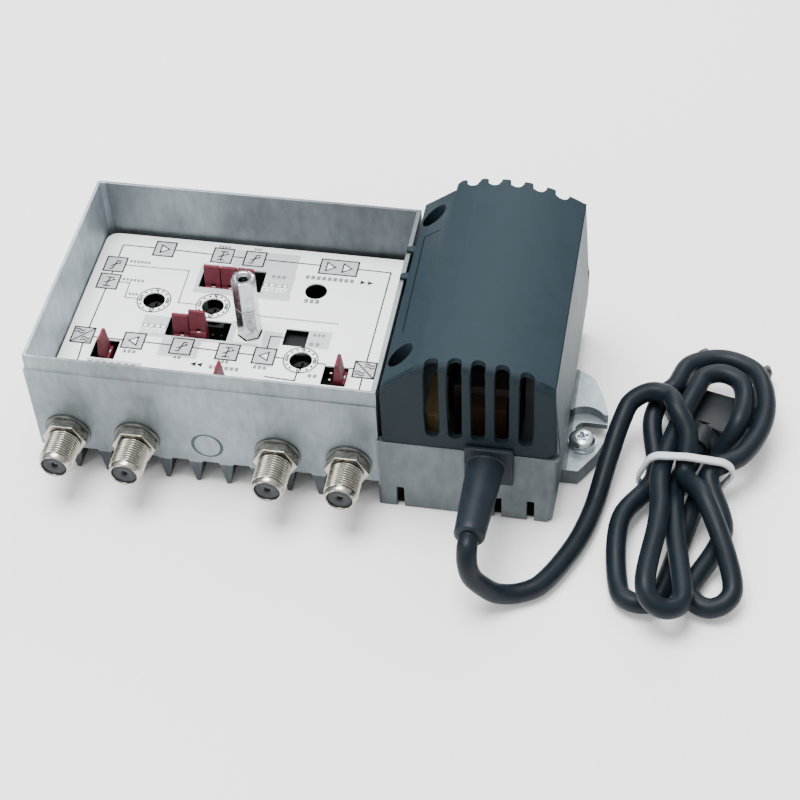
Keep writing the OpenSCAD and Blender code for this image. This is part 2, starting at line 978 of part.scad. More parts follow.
module ground_screw() {
    head_z = lug_t + 0.8 + 2 * gap;
    color("silver")
        placed()
            translate([earth_at[0], earth_at[1], 0])
                difference() {
                    union() {
                        translate([0, 0, 0.6])
                            cylinder(r = earth_r, h = head_z);
                        translate([0, 0, head_z])
                            rotate_extrude()
                                polygon([[0, 0], [earth_head_r, 0], [earth_head_r, earth_head[0]],
                                         [earth_head_r - 0.7, earth_head[1]],
                                         [earth_head_r - 1.9, earth_head[2]], [0, earth_head[2]]]);
                    }
                    for (a = [0, 90])
                        rotate(a + 20)
                            translate([-1.6, -0.45, head_z + 1])
                                cube([3.2, 0.9, 2]);
                }
}

// Mains lead

module strain_relief() {
    y0 = tray_front - gap;
    color("darkslategray")
        placed() {
            block([flange_x - 6.6, flange_y, flange_z - 6.7],
                  [flange_x + 6.6, y0, flange_z + 6.7]);
            block([flange_x - 4.5, y0 - 0.5, flange_z - 4.5],
                  [flange_x + 4.5, 3, tray_h - 0.1]);
            translate([relief_x, flange_y + 0.5, relief_z])
                rotate([90, 0, boot_turn])
                    rotate_extrude()
                        boot_profile(flange_y + 0.5 - relief_end);
        }
}

// Half section of the tapered boot with a rounded end
module boot_profile(len) {
    polygon([[0, 0], [boot_r0, 0], [boot_r1, len - boot_edge], [boot_r1 - 0.25, len - 0.3],
             [boot_r1 - boot_edge, len], [0, len]]);
}

module cord_lead() {
    color("darkslategray")
        placed()
            tube(curve(lead_route, lead_steps), cord_d, lead_sides);
}

module cord_hank() {
    color("darkslategray")
        placed()
            tube(curve(hank_route, hank_steps), cord_d, hank_sides);
}

module tie_outline(grow) {
    hull()
        for (p = tie_strands)
            translate(p)
                circle(cord_d / 2 + tie_slack + grow, $fn = 32);
}

module cable_tie() {
    color("white")
        placed()
            along_y(tie_y - tie_w / 2, tie_y + tie_w / 2)
                difference() {
                    tie_outline(tie_t);
                    tie_outline(0);
                }
}

module at_plug() {
    translate(plug_at)
        rotate([0, 0, plug_yaw])
            children();
}

module plug_body() {
    high = plug_h / 2;
    color("darkslategray")
        placed()
            at_plug() {
                rotate([-90, 0, 0])
                    cylinder(r = plug_neck_r, h = plug_neck + 1);
                intersection() {
                    translate([0, 0, -10])
                        linear_extrude(20)
                            polygon([[-6, plug_neck], [6, plug_neck], [9, plug_neck + 3], [plug_half, 15],
                                     [plug_half, plug_face], [-plug_half, plug_face],
                                     [-plug_half, 15], [-9, plug_neck + 3]]);
                    translate([0, 0, -plug_drop])
                        along_y(0, 30)
                            polygon([[-plug_half, -plug_edge], [-plug_flat, -high], [plug_flat, -high],
                                     [plug_half, -plug_edge], [plug_half, plug_edge], [plug_flat, high],
                                     [-plug_flat, high], [-plug_half, plug_edge]]);
                }
            }
}

module plug_pins() {
    color("silver")
        placed()
            at_plug()
                for (s = [-1, 1])
                    translate([s * plug_pin_gap / 2, plug_face, -plug_drop])
                        rotate([-90, 0, 0]) {
                            cylinder(d = pin_d, h = plug_pin_len - 2);
                            translate([0, 0, plug_pin_len - 2])
                                cylinder(d1 = pin_d, d2 = pin_d / 2, h = 2);
                        }
}

union() {  // cord_hank
    fine = curve(hank_route, gap_steps);
    s = lengths(fine);
    echo(hank_length = s[len(s) - 1], hank_least_gap = least_gap(fine, s) - cord_d);
}

housing();
psu_cover();
label_plate();
main_board();
psu_board();
transformer_core();
transformer_bobbin();
mains_capacitor();
output_capacitors();
fuse();
f_connector(port_places[0]);  // f_connector_1
f_connector(port_places[1]);  // f_connector_2
f_connector(port_places[2]);  // f_connector_3
f_connector(port_places[3]);  // f_connector_4
connector_nuts();
connector_washers();
connector_inserts();
connector_contacts();
standoff_lower();
standoff_upper();
pin_headers();
header_pins();
jumper(1);  // jumper_1
jumper(2);  // jumper_2
jumper(3);  // jumper_3
jumper(4);  // jumper_4
jumper(5);  // jumper_5
jumper(6);  // jumper_6
jumper(7);  // jumper_7
jumper(8);  // jumper_8
trimmer_bodies();
trimmer_rotor(1);  // trimmer_rotor_1
trimmer_rotor(2);  // trimmer_rotor_2
trimmer_rotor(3);  // trimmer_rotor_3
power_led();
downstream_module();
upstream_module();
diplex_filters();
cover_screws();
ground_screw();
ground_washer();
strain_relief();
cord_lead();
cord_hank();
cable_tie();
plug_body();
plug_pins();
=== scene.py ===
import json
import math

import bmesh
import bpy
from mathutils import Matrix, Vector

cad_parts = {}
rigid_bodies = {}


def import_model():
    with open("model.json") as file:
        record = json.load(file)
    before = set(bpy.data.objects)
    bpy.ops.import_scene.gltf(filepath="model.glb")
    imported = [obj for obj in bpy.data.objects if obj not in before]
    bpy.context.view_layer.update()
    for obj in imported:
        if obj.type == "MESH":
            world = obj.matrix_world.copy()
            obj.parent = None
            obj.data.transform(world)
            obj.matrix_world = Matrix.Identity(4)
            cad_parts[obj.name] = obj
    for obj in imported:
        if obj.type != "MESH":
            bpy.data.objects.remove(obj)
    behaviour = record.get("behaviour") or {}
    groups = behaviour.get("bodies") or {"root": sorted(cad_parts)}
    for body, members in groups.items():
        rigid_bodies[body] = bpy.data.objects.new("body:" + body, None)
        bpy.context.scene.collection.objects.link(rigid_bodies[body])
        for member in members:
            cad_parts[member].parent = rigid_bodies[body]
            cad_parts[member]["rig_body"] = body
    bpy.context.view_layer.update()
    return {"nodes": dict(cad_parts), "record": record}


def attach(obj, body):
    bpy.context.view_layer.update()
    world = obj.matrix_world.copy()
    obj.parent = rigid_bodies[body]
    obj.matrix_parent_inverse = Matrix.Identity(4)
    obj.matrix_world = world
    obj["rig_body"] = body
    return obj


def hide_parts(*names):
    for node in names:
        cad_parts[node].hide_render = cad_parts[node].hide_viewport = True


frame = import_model()
nodes = frame["nodes"]

# Lengths are in millimetres of the drawing frame, which is part.scad before its shift by ORIGIN
MM = 0.001
ORIGIN = Vector((78.4, 29.925, 0.0))


def at(x, y, z):
    """A point of the drawing frame in the metres of the scene."""
    return (Vector((x, y, z)) - ORIGIN) * MM


def linked(name, data):
    """A new object in the scene."""
    obj = bpy.data.objects.new(name, data)
    bpy.context.scene.collection.objects.link(obj)
    return obj


def on_circle(x, y, r, turn):
    return x + r * math.cos(turn), y + r * math.sin(turn)


# Camera, solved from the photo

CAMERA_AT = (172.5797, -314.5833, 393.1039)
RIGHT = Vector((0.9839449, 0.1749498, -0.0352845))
DOWN = Vector((0.1054802, -0.7295288, -0.6757675))
LOOK = Vector((-0.1439665, 0.6611962, -0.7362698))
LENS, SENSOR = 82.113, 36.0
NEAREST = 0.01

camera_data = bpy.data.cameras.new("camera")
camera_data.lens = LENS
camera_data.sensor_width = SENSOR
camera_data.clip_start = NEAREST
camera = linked("camera", camera_data)
facing = Matrix((RIGHT, -DOWN, -LOOK)).transposed().to_4x4()
camera.matrix_world = Matrix.Translation(at(*CAMERA_AT)) @ facing
bpy.context.scene.camera = camera


# Materials

MOTTLE = (0.3, 0.7)
STREAK_FROM, STREAK_TO = (0.25, 0.75), (0.85, 1.15)
STREAK_DETAIL = 5.0
GRAIN_DETAIL, GRAIN_DEPTH = 3.0, 0.0002
SMOOTHEST = 0.03


def added(tree, kind, operation=None, **values):
    """A shader node with some of its inputs set."""
    step = tree.nodes.new("ShaderNode" + kind)
    if operation:
        step.operation = operation
    for key, value in values.items():
        step.inputs[key.replace("_", " ")].default_value = value
    return step


def noise(tree, place, scale, detail):
    """Noise over the object, with a scale for each axis."""
    mapping = added(tree, "Mapping", Scale=scale)
    texture = added(tree, "TexNoise", Scale=1.0, Detail=detail)
    tree.links.new(place.outputs["Object"], mapping.inputs["Vector"])
    tree.links.new(mapping.outputs["Vector"], texture.inputs["Vector"])
    return texture.outputs["Fac"]


def ranged(tree, value, span, to):
    """A value moved from one span to another."""
    step = added(tree, "MapRange", From_Min=span[0], From_Max=span[1], To_Min=to[0], To_Max=to[1])
    tree.links.new(value, step.inputs["Value"])
    return step.outputs["Result"]


def inside_box(tree, place, low, high, soft, value):
    """A value inside a box of the drawing frame that turns to 1 over a soft edge."""
    low, high = at(*low), at(*high)
    socket = place.outputs["Object"]
    for operation, other in (("SUBTRACT", (low + high) / 2), ("ABSOLUTE", None),
                             ("SUBTRACT", (high - low) / 2), ("MAXIMUM", (0, 0, 0)), ("LENGTH", None)):
        step = added(tree, "VectorMath", operation)
        tree.links.new(socket, step.inputs[0])
        if other is not None:
            step.inputs[1].default_value = other
        socket = step.outputs["Value" if operation == "LENGTH" else "Vector"]
    return ranged(tree, socket, (0.0, soft * MM), (value, 1.0))


def scaled(tree, tone, factor):
    step = added(tree, "VectorMath", "SCALE")
    tree.links.new(tone, step.inputs[0])
    tree.links.new(factor, step.inputs["Scale"])
    return step.outputs["Vector"]


def shader(name, color, rough, metal=0.0, vary=0.06, scale=300, detail=4.0, rough_vary=0.08,
           bump=0.0, bump_scale=2500.0, streak=None, zones=(), **inputs):
    """Principled material with a soft mottle in colour and roughness, streaks, zones that scale the colour,
    such as boxes of painted shade and painted light, and a fine grain.
    """
    mat = bpy.data.materials.new(name)
    mat.use_nodes = True
    tree = mat.node_tree
    bsdf = tree.nodes["Principled BSDF"]
    bsdf.inputs["Metallic"].default_value = metal
    for key, value in inputs.items():
        bsdf.inputs[key.replace("_", " ")].default_value = value
    place = added(tree, "TexCoord")
    mottle = noise(tree, place, scale if isinstance(scale, tuple) else (scale, scale, scale), detail)
    ramp = added(tree, "ValToRGB")
    for stop, position, factor in zip(ramp.color_ramp.elements, MOTTLE, (1 - vary, 1 + vary)):
        stop.position = position
        stop.color = [min(1.0, c * factor) for c in color] + [1]
    tree.links.new(mottle, ramp.inputs["Fac"])
    tone = ramp.outputs["Color"]
    if streak:
        lines = noise(tree, place, streak, STREAK_DETAIL)
        tone = scaled(tree, tone, ranged(tree, lines, STREAK_FROM, STREAK_TO))
    for zone in zones:
        tone = scaled(tree, tone, inside_box(tree, place, *zone))
    tree.links.new(tone, bsdf.inputs["Base Color"])
    spread = ranged(tree, mottle, MOTTLE, (max(SMOOTHEST, rough - rough_vary), min(1.0, rough + rough_vary)))
    tree.links.new(spread, bsdf.inputs["Roughness"])
    if bump:
        grain = added(tree, "TexNoise", Scale=bump_scale, Detail=GRAIN_DETAIL)
        lift = added(tree, "Bump", Strength=bump, Distance=GRAIN_DEPTH)
        tree.links.new(place.outputs["Object"], grain.inputs["Vector"])
        tree.links.new(grain.outputs["Fac"], lift.inputs["Height"])
        tree.links.new(lift.outputs["Normal"], bsdf.inputs["Normal"])
    return mat


# Boxes in which a look is duller or brighter than elsewhere: low corner, high corner, soft edge, factor. On
# the casting and the cover they are painted shade and painted light, for how light falls on each face
TRAY_FRONT_SHADE = ((97.6, -5, -1), (146.9, 0.9, 26.4), 0.4, 0.47)
TRAY_REST_SHADE = ((97.6, 1.5, -1), (142.5, 80, 26.4), 0.4, 0.5)
SIDE_WALL_LOW_SHADE = ((143, 1.2, -1), (147, 80, 26.4), 0.4, 0.6)
SIDE_WALL_HIGH_SHADE = ((143, -5, 26.8), (148, 80, 60), 0.4, 0.6)
LUG_SIDES_SHADE = ((147.2, -10, -1), (160, 90, 5.4), 0.2, 0.5)
FAR_WALL_SHADE = ((80, 70, 20), (97, 75, 52), 50, 0.42)
LEFT_WALL_LIGHT = ((0.9, 1, 20), (2.6, 73, 43.5), 0.6, 1.8)
FRONT_WALL_SHADE = ((-1, -2, 9), (97.4, 0.8, 44), 0.5, 0.92)
FINS_SHADE = ((-1, -2, -1), (97.4, 80, 7.9), 0.3, 0.3)
LUG_TOP_LIGHT = ((147.2, -10, 5.45), (160, 90, 12), 0.2, 1.45)
CAST_LIGHT_AND_SHADE = [TRAY_FRONT_SHADE, TRAY_REST_SHADE, SIDE_WALL_LOW_SHADE, SIDE_WALL_HIGH_SHADE, LUG_SIDES_SHADE, FAR_WALL_SHADE, LEFT_WALL_LIGHT,
              FRONT_WALL_SHADE, FINS_SHADE, LUG_TOP_LIGHT]
# The cover's front face is painted darker: painted shade
COVER_FRONT_SHADE = ((97, -3, 26), (147, 0.6, 60), 1.5, 0.66)
EMPTY_PINS = ((42, 31, 0), (47.2, 36, 30), 0.1, 0.05)

# One look for each material slot of the record
LOOKS = {
    "cast_metal": dict(color=(0.24, 0.275, 0.295), rough=0.48, metal=0.65, vary=0.30, scale=55, detail=8.0,
                       rough_vary=0.12, bump=0.3, bump_scale=1600, streak=(500, 500, 180),
                       zones=CAST_LIGHT_AND_SHADE, Specular_Tint=(0.45, 0.47, 0.48, 1)),
    "cover_plastic": dict(color=(0.0148, 0.0265, 0.0345), rough=0.58, vary=0.08, scale=240, rough_vary=0.05,
                          bump=0.16, bump_scale=3500, zones=[COVER_FRONT_SHADE], Specular_IOR_Level=0.12),
    "label_face": dict(color=(0.93, 0.94, 0.95), rough=0.5, vary=0.012, scale=60, detail=3.0,
                       rough_vary=0.05),
    "circuit_board": dict(color=(0.010, 0.028, 0.018), rough=0.5, vary=0.2, scale=400),
    "core_steel": dict(color=(0.045, 0.040, 0.036), rough=0.5, metal=0.3, vary=0.15, scale=(20, 900, 20)),
    "winding_tape": dict(color=(0.060, 0.038, 0.020), rough=0.45, vary=0.1, scale=(100, 700, 100)),
    "film_capacitor": dict(color=(0.40, 0.29, 0.15), rough=0.45),
    "capacitor_sleeve": dict(color=(0.015, 0.018, 0.04), rough=0.4),
    "fuse_glass": dict(color=(0.75, 0.78, 0.78), rough=0.15, metal=0.3),
    "nickel": dict(color=(0.42, 0.40, 0.35), rough=0.26, metal=1.0, vary=0.14, scale=420),
    "zinc_steel": dict(color=(0.50, 0.53, 0.545), rough=0.17, metal=1.0, vary=0.2, scale=(500, 500, 90),
                       rough_vary=0.05),
    "dielectric": dict(color=(0.028, 0.033, 0.036), rough=0.45, vary=0.3, scale=900, Specular_IOR_Level=0.2),
    "contact_gold": dict(color=(0.80, 0.74, 0.60), rough=0.22, metal=1.0, vary=0.08, scale=900,
                         zones=[EMPTY_PINS]),
    "header_black": dict(color=(0.006, 0.007, 0.008), rough=0.5, vary=0.2, scale=900,
                         Specular_IOR_Level=0.15),
    "jumper_red": dict(color=(0.115, 0.015, 0.026), rough=0.5, vary=0.2, scale=(500, 500, 900),
                       rough_vary=0.06, Specular_IOR_Level=0.2),
    # Trimmers and their rotors sit under the label's holes and are painted nearly black: painted shade in the
    # holes
    "trimmer_blue": dict(color=(0.008, 0.009, 0.012), rough=0.5, vary=0.2, scale=600),
    "rotor_ivory": dict(color=(0.014, 0.016, 0.016), rough=0.5, vary=0.2, scale=600, Specular_IOR_Level=0.1),
    "led_green": dict(color=(0.012, 0.04, 0.016), rough=0.3, vary=0.1, scale=600),
    "module_black": dict(color=(0.006, 0.007, 0.008), rough=0.65, vary=0.4, scale=900, detail=2.0,
                         rough_vary=0.1, bump=0.9, bump_scale=1100, Specular_IOR_Level=0.3),
    "tin_can": dict(color=(0.50, 0.50, 0.48), rough=0.35, metal=0.9, vary=0.1),
    "cord_rubber": dict(color=(0.0048, 0.0092, 0.0138), rough=0.46, vary=0.15, scale=200, rough_vary=0.06,
                        bump=0.06, bump_scale=1500, Specular_IOR_Level=0.17),
    "tie_white": dict(color=(0.50, 0.525, 0.56), rough=0.42, vary=0.03, scale=400),
    "plug_plastic": dict(color=(0.006, 0.009, 0.012), rough=0.5, vary=0.15, rough_vary=0.06,
                         bump=0.1, bump_scale=3000, Specular_IOR_Level=0.3),
}
MATS = {slot: shader(slot, **look) for slot, look in LOOKS.items()}

# Looks of single pieces that differ from their slot
INK = shader("ink_dark", (0.012, 0.013, 0.017), 0.7, vary=0.15, scale=500, Specular_IOR_Level=0.2)
PATCH = shader("ink_patch", (0.51, 0.52, 0.55), 0.55, vary=0.03)
ICON = shader("ink_icon", (0.45, 0.46, 0.48), 0.55, vary=0.03)
PALE = shader("ink_pale", (0.86, 0.87, 0.89), 0.55, vary=0.02)
GREY = shader("ink_grey", (0.20, 0.205, 0.22), 0.6, vary=0.1, scale=500, Specular_IOR_Level=0.2)
BOOT = shader("boot_rubber", (0.0080, 0.0132, 0.0190), 0.5, vary=0.15, scale=200, rough_vary=0.06,
              bump=0.06, bump_scale=1500, Specular_IOR_Level=0.25)
SCREW = shader("screw_zinc", (0.58, 0.64, 0.67), 0.27, metal=1.0, vary=0.1)
SLEEVE = shader("pin_sleeve", (0.008, 0.010, 0.012), 0.5, vary=0.15)
# Metal pin tips painted nearly black: painted shade
PIN_TIP_SHADE = shader("pin_tip_shade", (0.055, 0.053, 0.050), 0.4, metal=0.9, vary=0.1, scale=400)
# Metal contact in a jumper's opening, light and mostly matt: partly a painted glint
CONTACT_GLINT = shader("jumper_contact", (0.72, 0.71, 0.68), 0.35, metal=0.2, vary=0.1, scale=900)
# Painted shade for the small opening in each jumper's foot
HOLE_SHADE = shader("jumper_hole", (0.012, 0.003, 0.005), 0.7, vary=0.2, scale=900, Specular_IOR_Level=0.1)
# Painted shade in the cover's fine grooves
SEAM_SHADE = shader("cover_seam_shade", (0.003, 0.005, 0.007), 0.7, vary=0.15, Specular_IOR_Level=0.05)
RING = shader("ring_shade", (0.055, 0.072, 0.080), 0.6, vary=0.25, scale=900, Specular_IOR_Level=0.2)
WASHER = shader("washer_metal", (0.15, 0.16, 0.155), 0.42, metal=0.9, vary=0.15, scale=400)
# Painted shade in the ports' thread grooves
GROOVE_SHADE = shader("thread_groove_shade", (0.10, 0.094, 0.080), 0.4, metal=0.9, vary=0.15, scale=420)

SLOT = {part["node"]: part["material_slot"] for part in frame["record"]["subparts"]}
for node, slot in SLOT.items():
    data = nodes[node].data
    data.materials.clear()
    data.materials.append(MATS[slot])


# Pieces

SMOOTH_ANGLE = 35.0


def piece(name, mesh, slot, body="amplifier", mat=None, stands_for=()):
    """An object that rides a body, with the look of its slot or one of its own."""
    mesh.materials.clear()
    mesh.materials.append(mat or MATS[slot])
    obj = linked(name, mesh)
    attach(obj, body)
    if stands_for:
        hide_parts(*stands_for)
    return obj


def smooth(mesh, degrees=SMOOTH_ANGLE):
    mesh.shade_smooth()
    mesh.set_sharp_from_angle(angle=math.radians(degrees))


def meshed(name, verts, faces, degrees=SMOOTH_ANGLE):
    """A mesh from points in the drawing frame."""
    mesh = bpy.data.meshes.new(name)
    mesh.from_pydata([at(*v) for v in verts], [], faces)
    mesh.validate()
    smooth(mesh, degrees)
    return mesh


def band_faces(count):
    """Faces of a closed band whose points take turns between its two edges."""
    total = 2 * count
    return [(2 * i, 2 * i + 1, (2 * i + 3) % total, (2 * i + 2) % total) for i in range(count)]


# Rounded copies of CAD nodes

SAME_POINT = 2e-6
NO_LENGTH = 1e-9
BEVEL_FACING, DOME_FACING = 0.5, 0.99

# The cover's dome as x and z of its axis and its radius, and how near to it a point counts as its own
DOME = (at(122, 0, 0).x, 14.5 * MM, 43 * MM)
DOME_NEAR, DOME_SUNK, ON_DOME = 0.5 * MM, 0.05 * MM, 0.01 * MM
LONG_EDGE = 40 * MM

# Upright front right corner of the power tray: low and high corner of a box round it, and its rounding
TRAY_CORNER = (at(144.0, -0.8, -0.1), at(146.6, 1.2, 26.1), 1.6)
CORNER_STEPS, CORNER_ANGLE, CORNER_FACING = 6, 45.0, 0.1
UPRIGHT_LENGTH, FRONT_DEPTH = 5 * MM, 0.2 * MM


def from_axis(point, dome):
    """The way out from the dome's axis to a point."""
    return Vector((point.x - dome[0], 0.0, point.z - dome[1]))


def seat_on_dome(bm, dome):
    """Lifts the few points that rounding left under the dome, where its long faces would fold."""
    def depth(vert):
        return dome[2] - from_axis(vert.co, dome).length

    for vert in bm.verts:
        sunk = depth(vert)
        ends = [edge.other_vert(vert) for edge in vert.link_edges if edge.calc_length() > LONG_EDGE]
        if DOME_SUNK < sunk < DOME_NEAR and any(abs(depth(end)) < ON_DOME for end in ends):
            vert.co += from_axis(vert.co, dome).normalized() * sunk


def round_corner(bm, corner):
    """Rounds upright edges on the front of a box more than the rest; returns a test for the faces made."""
    low, high, width = corner

    def inside(verts):
        return all(low[i] < v.co[i] < high[i] for v in verts for i in range(3))

    def upright(edge):
        a, b = (v.co for v in edge.verts)
        return abs(a.z - b.z) > UPRIGHT_LENGTH and a.y < low[1] + FRONT_DEPTH

    edges = [edge for edge in bm.edges if inside(edge.verts) and upright(edge)
             and edge.calc_face_angle(0.0) > math.radians(CORNER_ANGLE)]
    bmesh.ops.bevel(bm, geom=edges, offset=width * MM, segments=CORNER_STEPS, profile=0.5, affect="EDGES")
    return lambda face: (inside(face.verts) and face.normal.x > CORNER_FACING
                         and face.normal.y < -CORNER_FACING)


def even_normals(mesh, bevels, dome=None):
    """Flat faces keep their own normal up to the edge, and bevels turn smoothly between them."""
    near = math.cos(math.radians(SMOOTH_ANGLE))
    around = [[] for _ in mesh.vertices]
    for face in mesh.polygons:
        ring = [mesh.vertices[v].co for v in face.vertices]
        for i, v in enumerate(face.vertices):
            a, b = ring[i - 1] - ring[i], ring[(i + 1) % len(ring)] - ring[i]
            around[v].append((face.normal.copy(), a.angle(b, 0.0), face.index in bevels))
    normals = []
    for face in mesh.polygons:
        soft = face.index in bevels
        for v in face.vertices:
            used = [(n, w) for n, w, bevel in around[v] if not bevel]
            if soft and used:
                best = max(used, key=lambda item: item[0].dot(face.normal))[0]
                used = [(n, w) for n, w in used if n.dot(best) > near]
            elif soft:
                used = [(n, w) for n, w, _ in around[v] if n.dot(face.normal) > BEVEL_FACING]
            else:
                used = [(n, w) for n, w in used if n.dot(face.normal) > near]
            total = sum((n * w for n, w in used), Vector())
            if dome and not soft:
                out = from_axis(mesh.vertices[v].co, dome)
                if abs(out.length - dome[2]) < DOME_NEAR and out.normalized().dot(face.normal) > DOME_FACING:
                    total = out
            normals.append(total.normalized() if total.length > NO_LENGTH else face.normal.copy())
    mesh.shade_smooth()
    # With every edge sharp, no corner's normal is averaged with that of its neighbour
    for edge in mesh.edges:
        edge.use_edge_sharp = True
    mesh.normals_split_custom_set(normals)


def rounded(node, width, segments=2, angle=35.0, shortest=0.0, dome=None, mat=None, turn=None, corner=None):
    """Copies a node, turns it if asked and rounds its edges that are sharper than an angle."""
    bm = bmesh.new()
    bm.from_mesh(nodes[node].data)
    bmesh.ops.remove_doubles(bm, verts=bm.verts, dist=SAME_POINT)
    if turn:
        bmesh.ops.rotate(bm, cent=turn[0], matrix=Matrix.Rotation(turn[1], 3, "Z"), verts=bm.verts)
    on_corner = round_corner(bm, corner) if corner else None
    edges = [edge for edge in bm.edges
             if len(edge.link_faces) == 2 and edge.calc_face_angle(0.0) > math.radians(angle)
             and edge.calc_length() > shortest * MM]
    made = bmesh.ops.bevel(bm, geom=edges, offset=width * MM, segments=segments, profile=0.5,
                           affect="EDGES", clamp_overlap=False)
    bm.faces.index_update()
    bevels = {face.index for face in made["faces"] if face.is_valid}
    if corner:
        bm.normal_update()
        bevels |= {face.index for face in bm.faces if on_corner(face)}
    if dome:
        seat_on_dome(bm, dome)
    mesh = bpy.data.meshes.new(node + "_piece")
    bm.to_mesh(mesh)
    bm.free()
    even_normals(mesh, bevels, dome)
    return piece(node + "_piece", mesh, SLOT[node], nodes[node]["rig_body"], mat, (node,))


# Mains lead: one curve along the route of part.scad. A fold is (x in, x out, y of its tip, z in, z at its
# tip, z out, side), and each fold is followed by a run of points through the hank

LEAD = [(126, -26.4, 22), (126, -29.4, 21.6), (126.3, -31.6, 18.5), (127.5, -32.4, 14), (130.3, -31.8, 9.5),
        (133.6, -30.6, 5.6), (137.2, -28.9, 3.5), (140.8, -27.2, 3), (144, -25, 3), (147, -20.8, 3),
        (150, -15, 3), (152.7, -8.5, 3), (154.6, -2, 3), (156.2, 6, 3), (157.5, 13.5, 5.5)]
FOLDS = [(160.7, 175.5, 36.7, 11.5, 16.7, 18.8, 1), (194.7, 183.8, -25.8, 6, 3.6, 2.9, -1),
         (199.5, 174.4, 56.3, 13.4, 12.4, 12.5, 1), (164.9, 176.6, -27.2, 3.3, 3.9, 3, -1),
         (193.7, 180.5, 48.7, 14.1, 14.3, 14.1, 1), (172, 181.8, -32.4, 13.1, 10.1, 8.4, -1)]
RUNS = [[(179.3, 23, 15.8), (179.7, 12.8, 10.4), (184.9, 3.1, 14.4)],
        [(191.2, -1, 5.3), (186.2, 14.4, 10.5), (194.3, 21.4, 11.2), (199.5, 32.8, 12.7)],
        [(171.8, 41, 11.7), (169.2, 32.4, 10), (171.5, 16.3, 4.6), (163.6, -1.4, 5.8)],
        [(180.2, -5.4, 3.4), (184.6, 14, 4.4), (187.8, 23.8, 4.5), (192.8, 31, 14.1)],
        [(177, 31.5, 12.5), (173, 13.7, 10.6), (173.7, -4.7, 12.9)],
        [(178, -2.9, 9), (177.8, 15.3, 4.3)]]
HANK_START = [(158.8, 21, 8)]
HANK_END = [(180.7, 21.2, 6), (182, 26.4, 6)]
CORD_D = 5.5
CORD_ROUNDNESS = 5
FOLD_STEPS, LEAD_STEPS = 4, 8


def fold(x_in, x_out, y_tip, z_in, z_tip, z_out, side):
    """Points round one end of the hank."""
    half = abs(x_out - x_in) / 2
    middle = (x_in + x_out) / 2
    points = []
    for i in range(FOLD_STEPS + 1):
        u = i / FOLD_STEPS
        z = z_in + (z_tip - z_in) * 2 * u if u < 0.5 else z_tip + (z_out - z_tip) * (2 * u - 1)
        points.append((middle + (x_in - middle) * math.cos(math.pi * u),
                       y_tip - side * half * (1 - math.sin(math.pi * u)), z))
    return points


def centreline(route, steps):
    """A smooth line through the points of a route, with no overshoot where they stand close."""
    p = [Vector(q) for q in route]
    p = [2 * p[0] - p[1]] + p + [2 * p[-1] - p[-2]]
    line = []
    for a, b, c, d in zip(p, p[1:], p[2:], p[3:]):
        k1, k2, k3 = (math.sqrt(v.length) for v in (b - a, c - b, d - c))
        m1 = (c - b) + k2 * ((b - a) / k1 - (c - a) / (k1 + k2))
        m2 = (c - b) + k2 * ((d - c) / k3 - (d - b) / (k2 + k3))
        for i in range(steps):
            t = i / steps
            line.append((2 * (b - c) + m1 + m2) * t ** 3 + (3 * (c - b) - 2 * m1 - m2) * t * t + m1 * t + b)
    return line + [p[-2]]


route = LEAD + HANK_START
for bend, run in zip(FOLDS, RUNS):
    route += fold(*bend) + run
route += HANK_END
line = [at(*p) for p in centreline(route, LEAD_STEPS)]
lead_data = bpy.data.curves.new("mains_lead", "CURVE")
lead_data.dimensions = "3D"
lead_data.bevel_depth = CORD_D / 2000
lead_data.bevel_resolution = CORD_ROUNDNESS
lead_data.use_fill_caps = True
spline = lead_data.splines.new("POLY")
spline.points.add(len(line) - 1)
for point, place in zip(spline.points, line):
    point.co = (*place, 1.0)
spline.use_smooth = True
lead_data.materials.append(MATS["cord_rubber"])
lead = linked("mains_lead", lead_data)
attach(lead, "amplifier")
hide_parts("cord_lead", "cord_hank")

relief = rounded("strain_relief", 0.5, segments=3, mat=BOOT)
tie = rounded("cable_tie", 0.45, segments=3)
plug = rounded("plug_body", 0.8, segments=3)

# Pins of the plug, sleeved up to their tips; the metal tips are painted nearly black, as painted shade under
# the hank
PIN_TIP_LENGTH = 8.0
pin_way = (at(*HANK_END[1]) - at(*HANK_END[0])).normalized()
bm = bmesh.new()
bm.from_mesh(nodes["plug_pins"].data)
sleeve_end = max(v.co.dot(pin_way) for v in bm.verts) - PIN_TIP_LENGTH * MM
bmesh.ops.bisect_plane(bm, geom=bm.verts[:] + bm.edges[:] + bm.faces[:], plane_co=pin_way * sleeve_end,
                       plane_no=pin_way)
pin_mesh = bpy.data.meshes.new("plug_pins_piece")
bm.to_mesh(pin_mesh)
bm.free()
smooth(pin_mesh)
pins = piece("plug_pins_piece", pin_mesh, SLOT["plug_pins"], mat=SLEEVE, stands_for=("plug_pins",))
pin_mesh.materials.append(PIN_TIP_SHADE)
for face in pin_mesh.polygons:
    face.material_index = int(face.center.dot(pin_way) > sleeve_end)


# Casting, cover, post, screws and jumpers

POST_AT = (53.8, 35.4)
POST_AF = 6.0
POST_TURN = math.radians(25)
POST_SPIN = (at(*POST_AT, 0), POST_TURN)

rounded("housing", 0.25, angle=45.0, shortest=3.0, corner=TRAY_CORNER)
rounded("psu_cover", 0.5, segments=3, angle=40.0, shortest=1.0, dome=DOME)
rounded("connector_nuts", 0.25, angle=45.0)
rounded("connector_washers", 0.15, angle=45.0, mat=WASHER)
rounded("standoff_upper", 0.2, segments=3, turn=POST_SPIN)
rounded("standoff_lower", 0.2, turn=POST_SPIN)
rounded("cover_screws", 0.15, angle=45.0)
rounded("ground_screw", 0.2, mat=SCREW)
rounded("ground_washer", 0.12, angle=45.0, mat=SCREW)
for k in range(1, 9):
    rounded("jumper_%d" % k, 0.2, angle=30.0)


